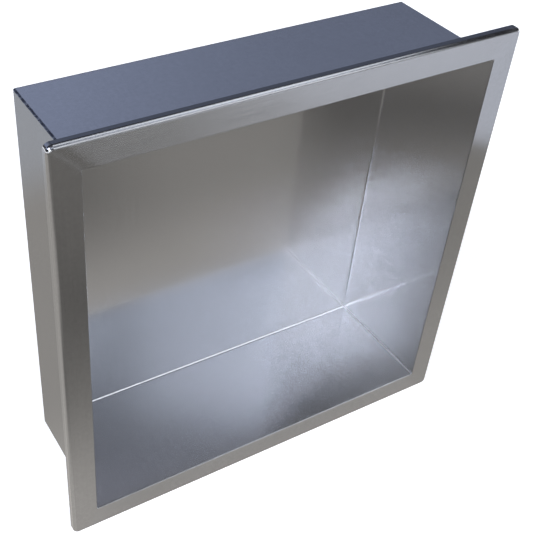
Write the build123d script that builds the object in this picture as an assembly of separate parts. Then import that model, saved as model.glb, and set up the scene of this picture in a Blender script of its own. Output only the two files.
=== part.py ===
from build123d import *
import os

# Recessed wall niche: an open box folded from steel sheet, welded into a flat front flange
# whose outer edges are folded back into a short return lip that lands on the wall.
# +Z is up, the opening faces -Y, and Y = 0 is the wall surface that the lip's rear edge meets.

# Driving sizes, in millimetres
opening_width = 270.0
opening_height = 270.0
overall_depth = 90.0     # flange face to the outside of the back panel
flange_band = 17.5       # width of the flange from the opening to its outer edge
sheet = 1.2              # sheet thickness, the same all over
bend_inside = 1.2        # inside radius of every pressed bend
lip_depth = 5.5          # flange face to the rear edge of the return lip
face_corner = 1.6        # corner radius left on the flat face of the flange, inside its bends
opening_round = 0.4      # ground edge where the flange face turns into the opening
inside_weld = 0.6        # radius of the ground weld along each inside corner of the box
weld_land = 0.2          # sheet left under the open groove along each outside corner
weld_throat = 0.8        # concave weld between the box and the back of the flange

# Sizes that follow
bend_outside = bend_inside + sheet
box_width = opening_width + 2 * sheet
box_height = opening_height + 2 * sheet
flange_width = opening_width + 2 * flange_band
flange_height = opening_height + 2 * flange_band
flange_corner = face_corner + bend_outside
seam_groove = sheet - weld_land
wall_y = 0.0
face_y = wall_y - lip_depth
flange_rear_y = face_y + sheet
back_y = face_y + overall_depth


def flange_block(inset):
    """Solid inside the flange's skin: round corners in plan and a rounded front edge."""
    outline = RectangleRounded(
        flange_width - 2 * inset,
        flange_height - 2 * inset,
        flange_corner - inset,
    )
    front_y = face_y + inset
    block = extrude(Plane.XZ.offset(-wall_y) * outline, wall_y - front_y)
    front_face = block.faces().sort_by(Axis.Y)[0]
    return fillet(front_face.edges(), bend_outside - inset)


def box_block(inset):
    """Solid inside the box's skin: sharp welded corners along the depth, folded edges at the back."""
    block = Pos(0, face_y, 0) * Box(
        box_width - 2 * inset,
        overall_depth - inset,
        box_height - 2 * inset,
        align=(Align.CENTER, Align.MIN, Align.CENTER),
    )
    rear_face = block.faces().sort_by(Axis.Y)[-1]
    return fillet(rear_face.edges(), bend_outside - inset)


def cavity():
    """The space inside the box, with each inside corner along the depth rounded by its weld."""
    section = RectangleRounded(opening_width, opening_height, inside_weld)
    return box_block(sheet) & extrude(Plane.XZ.offset(-back_y) * section, overall_depth)


def seam_grooves():
    """Open corner joints: the walls meet at their inner edges, so each outside corner is a groove."""
    length = back_y - flange_rear_y - weld_throat
    groove = Box(seam_groove, length, seam_groove, align=(Align.CENTER, Align.MAX, Align.CENTER))
    corners = GridLocations(box_width - seam_groove, box_height - seam_groove, 2, 2)
    return [Pos(corner.position.X, back_y, corner.position.Y) * groove for corner in corners]


def joint_edges(solid):
    """The four inside edges where the box's outer walls meet the back of the flange."""
    on_flange_rear = solid.edges().filter_by_position(Axis.Y, flange_rear_y, flange_rear_y)
    across = on_flange_rear.filter_by(Axis.X).filter_by(lambda edge: abs(edge.length - box_width) < sheet)
    upright = on_flange_rear.filter_by(Axis.Z).filter_by(lambda edge: abs(edge.length - box_height) < sheet)
    return across + upright


def wall_niche():
    """The whole niche as one welded and folded skin of sheet."""
    flange = flange_block(0) - flange_block(sheet)
    niche = flange + box_block(0)
    niche = fillet(joint_edges(niche), weld_throat)
    niche -= cavity()
    front_face = niche.faces().sort_by(Axis.Y)[0]
    niche = fillet(front_face.inner_wires().edges(), opening_round)
    return niche - seam_grooves()


os.makedirs("parts", exist_ok=True)
export_step(wall_niche(), "parts/wall_niche.step")
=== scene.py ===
import math

import bpy
from mathutils import Matrix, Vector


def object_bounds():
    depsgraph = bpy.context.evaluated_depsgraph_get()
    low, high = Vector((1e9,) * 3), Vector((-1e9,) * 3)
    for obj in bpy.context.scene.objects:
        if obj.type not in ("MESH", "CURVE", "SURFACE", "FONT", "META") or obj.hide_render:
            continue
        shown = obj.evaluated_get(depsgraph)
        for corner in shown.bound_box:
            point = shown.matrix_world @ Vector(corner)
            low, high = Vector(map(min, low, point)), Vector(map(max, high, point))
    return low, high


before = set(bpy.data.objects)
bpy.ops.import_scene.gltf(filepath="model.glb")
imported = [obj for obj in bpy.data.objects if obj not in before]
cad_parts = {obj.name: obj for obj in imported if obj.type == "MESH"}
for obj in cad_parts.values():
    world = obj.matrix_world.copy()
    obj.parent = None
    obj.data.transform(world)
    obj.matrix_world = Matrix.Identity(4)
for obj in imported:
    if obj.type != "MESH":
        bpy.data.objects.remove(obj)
cad_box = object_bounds()
scene = bpy.context.scene
scene.view_settings.view_transform = "Standard"

# Lengths in metres, as packed: the wall surface is y = 0, the opening faces -Y, and +Z is up
sheet = 0.0012
half_inside = 0.135        # centre line to the inside of a wall
half_box = half_inside + sheet
opening_round = 0.0004     # ground edge of the opening
face_y = cad_box[0].y
flange_rear_y = face_y + sheet
floor_z = cad_box[0].z
touch = 0.00005            # allowance for picking out a face by its place
lip_margin = 0.0004        # allowance round the lip, clear of the box
corner_turn = 0.016        # half the stretch over which the grain turns at a flange corner

# Welds: how far the outside and inside marks reach from their corners, and what their edges are like
burnt_reach = 0.0011
dressed_reach = 0.0007
weld_edge = 0.0002         # half the width of a mark's soft edge
weld_ragged = 0.0013       # how far that edge wanders
weld_start = 0.0013        # back of the flange to the start of an outside mark

# Colours of the steel and its welds
steel_colour = (0.70, 0.70, 0.705)
dressed_colour = (0.92, 0.92, 0.93, 1)
burnt_colour = (0.24, 0.255, 0.30, 1)

# Tones of single faces and folds, as shares of the steel's colour: the flange a little darker, and painted
# reflection, highlight and shade on the lip's faces, the lip's folds, the box's folds and the opening's rim
flange_tone = 0.92
level_lip_painted_shade = 0.4
upright_lip_painted_reflection = 1.35
upright_lip_fold_painted_highlight = 1.1
level_lip_fold_painted_shades = (0.4, 0.8)      # where the fold faces forward, where it faces up or down
outside_fold_painted_shade = 0.8
inside_fold_painted_shade_and_highlight = (0.7, 1.3)         # in the lower half, near the top
rim_painted_shade = 0.75

# How much of the shine is clear and not drawn out across the grain
upright_clear = 0.3
level_clear = 0.5
flange_clear = 0.1
mitre_clear = 0.5                      # added where the grain turns
level_lip_clear = 0.75


class Nodes:
    """Short ways to add and join shader nodes in one node tree."""

    def __init__(self, tree):
        self.tree = tree
        tree.nodes.clear()

    def add(self, kind, inputs=None, **settings):
        node = self.tree.nodes.new(kind)
        for name, value in settings.items():
            setattr(node, name, value)
        for key, value in (inputs or {}).items():
            self.put(node.inputs[key], value)
        return node

    def put(self, socket, value):
        if isinstance(value, bpy.types.NodeSocket):
            self.tree.links.new(value, socket)
        else:
            socket.default_value = value

    def math(self, operation, *values):
        node = self.add("ShaderNodeMath", operation=operation)
        for socket, value in zip(node.inputs, values):
            self.put(socket, value)
        return node.outputs[0]

    def vector(self, operation, *values, out="Vector", scale=None):
        node = self.add("ShaderNodeVectorMath", operation=operation)
        for socket, value in zip(node.inputs, values):
            self.put(socket, value)
        if scale is not None:
            self.put(node.inputs["Scale"], scale)
        return node.outputs[out]

    def split(self, vector):
        return self.add("ShaderNodeSeparateXYZ", {0: vector}).outputs

    def mix(self, share, a, b, kind="RGBA"):
        """From a to b by a share of 0 to 1, as colours unless the kind says otherwise."""
        node = self.add("ShaderNodeMix", data_type=kind)
        sockets = {"FLOAT": (0, 2, 3, 0), "VECTOR": (0, 4, 5, 1), "RGBA": (0, 6, 7, 2)}[kind]
        self.put(node.inputs[sockets[0]], share)
        self.put(node.inputs[sockets[1]], a)
        self.put(node.inputs[sockets[2]], b)
        return node.outputs[sockets[3]]

    def blend(self, share, a, b):
        """From number a to number b by a share of 0 to 1."""
        return self.mix(share, a, b, "FLOAT")

    def shade(self, tone, mask, factor):
        """The tone, multiplied by the factor where the mask is 1."""
        return self.math("MULTIPLY", tone, self.blend(mask, 1.0, factor))

    def ramp(self, value, low, high, to_low=0.0, to_high=1.0):
        """A smooth step of the value from low to high."""
        node = self.add("ShaderNodeMapRange", {"Value": value, "From Min": low, "From Max": high,
                                               "To Min": to_low, "To Max": to_high},
                        interpolation_type="SMOOTHSTEP")
        return node.outputs[0]

    def between(self, value, low, high, soft):
        """1 between low and high, with soft ends."""
        rising = self.ramp(value, low - soft, low + soft)
        falling = self.ramp(value, high + soft, high - soft)
        return self.math("MULTIPLY", rising, falling)

    def noise(self, place, scale, detail, rough):
        node = self.add("ShaderNodeTexNoise", {"Vector": place, "Scale": scale, "Detail": detail,
                                               "Roughness": rough})
        return node.outputs[0]


class Skin:
    """Where a point lies on the niche: its place, its facing, and masks for the flange, lip and inside."""

    def __init__(self, n):
        self.place = n.add("ShaderNodeTexCoord").outputs["Object"]
        self.side, self.depth, self.height = n.split(self.place)
        reach_x = n.math("ABSOLUTE", self.side)
        reach_z = n.math("ABSOLUTE", self.height)
        self.outward = n.math("MAXIMUM", reach_x, reach_z)
        self.corner = n.math("MINIMUM", reach_x, reach_z)
        self.turned = n.ramp(n.math("SUBTRACT", reach_z, reach_x), -corner_turn, corner_turn)

        self.normal = n.add("ShaderNodeNewGeometry").outputs["Normal"]
        self.facing_x, facing_y, self.facing_z = n.split(n.vector("ABSOLUTE", self.normal))
        self.flatness = n.math("MAXIMUM", self.facing_x, n.math("MAXIMUM", facing_y, self.facing_z))
        self.level = n.math("GREATER_THAN", self.facing_z, 0.7)

        beyond_box = n.math("GREATER_THAN", self.outward, half_box + lip_margin)
        self.flange = n.math("MULTIPLY", n.math("LESS_THAN", self.depth, lip_margin), beyond_box)
        self.face = n.math("LESS_THAN", self.depth, flange_rear_y)
        self.front = n.math("MAXIMUM", self.flange, self.face)
        self.inside = n.math("LESS_THAN", self.outward, half_inside + touch)
        self.level_lip = n.math("MULTIPLY", self.flange, n.ramp(self.facing_z, 0.97, 0.995))
        self.upright_lip = n.math("MULTIPLY", self.flange, n.ramp(self.facing_x, 0.9, 0.99))


def new_material(name):
    material = bpy.data.materials.new(name)
    material.use_nodes = True
    return material, Nodes(material.node_tree)


def grain_direction(n, skin):
    """Upright on the back and sides, front to back on the top and floor, along each band of the flange."""
    grain = n.mix(skin.level, (0, 0, 1), (0, 1, 0), "VECTOR")
    turning_way = n.math("MULTIPLY", n.math("SIGN", skin.side), n.math("SIGN", skin.height))
    along_band = n.vector("SCALE", (-1, 0, 0), scale=turning_way)
    level_band = n.math("MULTIPLY", skin.front, skin.turned)
    return n.vector("NORMALIZE", n.mix(level_band, grain, along_band, "VECTOR"))


def weld_marks(n, skin):
    """Masks of the dark weld along each outside corner and the dressed weld along each inside corner."""
    lumps = n.math("SUBTRACT", n.noise(skin.place, scale=420.0, detail=3.0, rough=0.6), 0.5)
    ragged = n.math("ADD", skin.corner, n.math("MULTIPLY", lumps, weld_ragged))

    def near_corner(half_width, reach):
        edge = half_width - reach
        return n.ramp(ragged, edge - weld_edge, edge + weld_edge)

    behind_flange = n.math("GREATER_THAN", skin.depth, flange_rear_y + weld_start)
    outer_sheet = n.math("COMPARE", skin.outward, half_box - sheet / 2 + 2 * touch, sheet / 2)
    burnt = n.math("MULTIPLY", behind_flange, near_corner(half_box, burnt_reach))
    burnt = n.math("MULTIPLY", burnt, outer_sheet)
    dressed = n.math("MULTIPLY", near_corner(half_inside, dressed_reach), skin.inside)
    return burnt, dressed


def steel_marks_and_painted_light(n, skin, scratch, mottle):
    """How light the steel is: its fine marks, the flange a little darker, and painted reflection, highlight
    and shade on the lip, folds and opening's rim.
    """
    tone = n.math("ADD", n.ramp(scratch, 0.25, 0.75, 0.985, 1.015), n.ramp(mottle, 0.3, 0.7, -0.03, 0.03))
    tone = n.shade(tone, skin.front, flange_tone)

    # Painted shade and highlight on the folds: outside folds darker, inside folds darker low down and
    # lighter near the top, level lip folds darker, upright lip folds lighter, the opening's rim darker
    upright_fold = n.math("GREATER_THAN", skin.facing_x, 0.1)
    box_fold = n.blend(skin.inside, outside_fold_painted_shade, n.ramp(skin.height, 0.0, 0.09, *inside_fold_painted_shade_and_highlight))
    box_fold = n.blend(upright_fold, 1.0, box_fold)
    level_lip_fold = n.ramp(skin.facing_z, 0.35, 0.8, *level_lip_fold_painted_shades)
    lip_fold = n.blend(upright_fold, level_lip_fold, upright_lip_fold_painted_highlight)
    within_rim = n.math("LESS_THAN", skin.outward, half_inside + opening_round + touch)
    rim = n.math("MULTIPLY", skin.face, within_rim)
    fold = n.blend(rim, n.blend(skin.front, box_fold, lip_fold), rim_painted_shade)
    tone = n.math("MULTIPLY", tone, n.ramp(skin.flatness, 0.985, 0.999, fold, 1.0))

    # Painted reflection: the level faces of the lip darker and the upright faces of the lip lighter
    tone = n.shade(tone, skin.level_lip, level_lip_painted_shade)
    return n.shade(tone, skin.upright_lip, upright_lip_painted_reflection)


def clear_share(n, skin, fine, weld):
    """How much of the shine is clear: least on the flange, more where its grain turns, all on the welds."""
    mitre = n.math("MULTIPLY", skin.turned, n.math("SUBTRACT", 4.0, n.math("MULTIPLY", skin.turned, 4.0)))
    share = n.blend(skin.level, upright_clear, level_clear)
    share = n.blend(skin.front, share, n.math("MULTIPLY_ADD", mitre, mitre_clear, flange_clear))
    share = n.blend(skin.level_lip, share, level_lip_clear)
    share = n.math("MULTIPLY", share, n.ramp(fine, 0.35, 0.65, 0.7, 1.3))
    return n.blend(weld, share, 1.0)


def brushed_steel():
    """Satin sheet: a shine drawn out across the grain, mixed with a clear one."""
    material, n = new_material("brushed_stainless")
    skin = Skin(n)
    grain = grain_direction(n, skin)
    spread = n.vector("NORMALIZE", n.vector("CROSS_PRODUCT", skin.normal, grain))

    # The brushing is noise in a space that is squeezed along the grain
    along = n.vector("DOT_PRODUCT", skin.place, grain, out="Value")
    squeeze = n.vector("SCALE", grain, scale=n.math("MULTIPLY", along, -0.985))
    drawn = n.vector("ADD", skin.place, squeeze)
    fine = n.noise(drawn, scale=4200.0, detail=1.0, rough=0.5)
    scratch = n.noise(drawn, scale=900.0, detail=3.0, rough=0.6)
    cloud = n.noise(skin.place, scale=14.0, detail=3.0, rough=0.6)
    mottle = n.noise(skin.place, scale=420.0, detail=5.0, rough=0.7)

    burnt, dressed = weld_marks(n, skin)
    weld = n.math("MAXIMUM", burnt, dressed)
    steel = n.vector("SCALE", steel_colour, scale=steel_marks_and_painted_light(n, skin, scratch, mottle))
    steel = n.mix(dressed, steel, dressed_colour)
    steel = n.mix(burnt, steel, burnt_colour)
    rough = n.math("ADD", n.ramp(cloud, 0.3, 0.7, 0.19, 0.21), n.ramp(scratch, 0.3, 0.7, -0.008, 0.008))
    bump = n.add("ShaderNodeBump", {"Strength": 0.1, "Distance": 0.000002, "Height": fine})
    satin = n.add("ShaderNodeBsdfPrincipled", {
        "Base Color": steel, "Metallic": 1.0, "Roughness": rough, "Anisotropic": 1.0,
        "Tangent": spread, "Normal": bump.outputs[0]})
    clear = n.add("ShaderNodeBsdfPrincipled", {
        "Base Color": steel, "Metallic": 1.0, "Roughness": n.blend(weld, 0.08, 0.35)})
    share = clear_share(n, skin, fine, weld)
    shader = n.add("ShaderNodeMixShader", {0: share, 1: satin.outputs[0], 2: clear.outputs[0]})
    n.add("ShaderNodeOutputMaterial", {0: shader.outputs[0]})
    return material


def level_plane(name, size, height, material):
    """A square plane of the studio, centred on the niche."""
    half = size / 2
    corners = [(-half, -half, 0), (half, -half, 0), (half, half, 0), (-half, half, 0)]
    mesh = bpy.data.meshes.new(name)
    mesh.from_pydata(corners, [], [(0, 1, 2, 3)])
    mesh.materials.append(material)
    thing = bpy.data.objects.new(name, mesh)
    thing.location.z = height
    scene.collection.objects.link(thing)
    return thing


def white_floor():
    """Pale paper that keeps the niche's shadow, and looks white to the camera and in metal and glass."""
    material, n = new_material("floor")
    path = n.add("ShaderNodeLightPath").outputs
    in_metal_or_glass = n.math("MAXIMUM", path["Is Glossy Ray"], path["Is Transmission Ray"])
    seen = n.math("MAXIMUM", path["Is Camera Ray"], in_metal_or_glass)
    paper = n.add("ShaderNodeBsdfDiffuse", {"Color": (0.82, 0.82, 0.82, 1)})
    glow = n.add("ShaderNodeEmission", {"Color": (1, 1, 1, 1), "Strength": n.math("MULTIPLY", seen, 0.75)})
    both = n.add("ShaderNodeAddShader", {0: paper.outputs[0], 1: glow.outputs[0]})
    n.add("ShaderNodeOutputMaterial", {0: both.outputs[0]})
    floor_size = 24.0
    level_plane("floor", floor_size, floor_z, material)


def grey_card():
    """A card on the floor round the niche, seen only in the metal, as a studio keeps glare off steel."""
    material, n = new_material("grey_card")
    card_size = 4.8
    card_lift = 0.0005
    place = n.add("ShaderNodeTexCoord").outputs["Object"]
    x, y = n.split(place)[:2]

    # Lighter close to the niche, above all at its left, and darker far out in front
    near = n.math("ADD", n.ramp(y, -0.16, -0.02, 0.285, 0.385), n.ramp(x, -0.10, -0.145, 0.0, 0.06))
    far = n.ramp(x, 0.0, 0.28, 0.17, 0.20)
    grey = n.blend(n.ramp(y, -0.22, -0.36), near, far)

    # Two dark pools in front and to the left: place, radius and grey
    for pool_x, pool_y, radius, pool_grey in ((-0.055, -0.235, 0.20, 0.11), (-0.20, -0.15, 0.14, 0.12)):
        away = n.vector("DISTANCE", place, (pool_x, pool_y, 0), out="Value")
        grey = n.blend(n.ramp(away, radius, 0.0), grey, pool_grey)

    # One grey beside and behind the niche, warm near it and cool farther back
    grey = n.blend(n.ramp(y, 0.02, 0.12), grey, 0.325)
    tone = n.vector("SCALE", (1.0, 0.965, 0.92), scale=grey)
    tone = n.mix(n.ramp(y, 0.34, 0.44), tone, (0.40, 0.42, 0.46, 1))

    # A bright patch at the front right, with a slanting edge
    reach = n.vector("DOT_PRODUCT", place, (0.76, -0.65, 0), out="Value")
    patch = n.math("MULTIPLY", n.ramp(reach, 0.49, 0.52), n.ramp(x, 0.25, 0.35))
    tone = n.mix(patch, tone, (0.60, 0.63, 0.71, 1))

    glow = n.add("ShaderNodeEmission", {"Color": tone})
    clear = n.add("ShaderNodeBsdfTransparent")
    shape = n.ramp(n.vector("LENGTH", place, out="Value"), card_size / 2, card_size / 3)
    seen = n.add("ShaderNodeMixShader", {0: shape, 1: clear.outputs[0], 2: glow.outputs[0]})
    n.add("ShaderNodeOutputMaterial", {0: seen.outputs[0]})
    card = level_plane("grey_card", card_size, floor_z + card_lift, material)
    card.visible_camera = False
    card.visible_diffuse = False
    card.visible_shadow = False


def studio_world():
    """Soft-edged lamps round the front and a dim bluish band behind; the camera sees plain white."""
    world = bpy.data.worlds.new("studio")
    world.use_nodes = True
    scene.world = world
    n = Nodes(world.node_tree)
    look = n.vector("NORMALIZE", n.add("ShaderNodeTexCoord").outputs["Generated"])
    x, y, z = n.split(look)
    turn = n.math("DEGREES", n.math("ARCTAN2", n.math("MULTIPLY", x, -1.0), n.math("MULTIPLY", y, -1.0)))
    rise = n.math("DEGREES", n.math("ARCSINE", z))

    # The band behind the niche is a little brighter at its left end
    room_colour = (0.03, 0.03, 0.035)
    band_colour = (0.165, 0.195, 0.285)
    band = n.math("MULTIPLY", n.ramp(y, 0.0, 0.4), n.between(rise, 19, 37, 4.0))
    band = n.math("MULTIPLY", band, n.ramp(x, 0.2, 0.6, 1.45, 0.95))
    light = n.vector("ADD", room_colour, n.vector("SCALE", band_colour, scale=band))

    # Each lamp in degrees, round from straight in front towards -X and up from the horizon, and its colour
    lamp_edge = 2.0
    for turn_from, turn_to, rise_from, rise_to, colour in (
        (59, 76, 30.5, 55.5, (12.0, 13.1, 15.7)),     # key lamp, far round to the left
        (30.5, 45.5, 0, 44, (1.58, 1.64, 1.8)),       # tall lamp at the left
        (-23, 26, 31, 46, (0.56, 0.63, 0.76)),        # broad fill in front
        (-55, -27, 38, 48.5, (1.0, 1.1, 1.33)),       # fill at the right
        (-58, 63, 51.5, 69.5, (0.27, 0.28, 0.34)),    # dim ceiling in front
        (-42, -12, 4, 28, (2.5, 2.6, 2.8)),           # low lamp at the right
        (22, 34, 6, 26, (6.0, 6.3, 6.8)),             # small low lamp at the left
        (-104, -52, 50, 74, (1.6, 1.68, 1.83)),       # high lamp at the right, for the lip's fold
    ):
        width = n.between(turn, turn_from, turn_to, lamp_edge)
        shape = n.math("MULTIPLY", width, n.between(rise, rise_from, rise_to, lamp_edge))
        light = n.vector("ADD", light, n.vector("SCALE", colour, scale=shape))

    light = n.vector("SCALE", light, scale=n.math("GREATER_THAN", z, 0.0))
    shown = n.mix(n.add("ShaderNodeLightPath").outputs["Is Camera Ray"], light, (1, 1, 1, 1))
    back = n.add("ShaderNodeBackground", {"Color": shown, "Strength": 1.0})
    n.add("ShaderNodeOutputWorld", {0: back.outputs[0]})


def photo_camera():
    """The photograph's view: in front, to the left and above, looking down, with a slight roll."""
    lens = bpy.data.cameras.new("camera")
    lens.sensor_width = 36.0
    lens.lens = 63.947
    lens.shift_x = 0.12622
    lens.shift_y = 0.00643
    heading = math.radians(-31.5855)
    look_down = math.radians(39.6225)
    roll = math.radians(2.9861)
    camera = bpy.data.objects.new("camera", lens)
    camera.matrix_world = (
        Matrix.Translation((-0.28496, -0.36319, 0.39369))
        @ Matrix.Rotation(heading, 4, "Z")
        @ Matrix.Rotation(math.pi / 2 - look_down, 4, "X")
        @ Matrix.Rotation(roll, 4, "Z")
    )
    scene.collection.objects.link(camera)
    scene.camera = camera


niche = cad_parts["wall_niche"]
niche.material_slots[0].material = brushed_steel()

white_floor()
grey_card()
studio_world()
photo_camera()
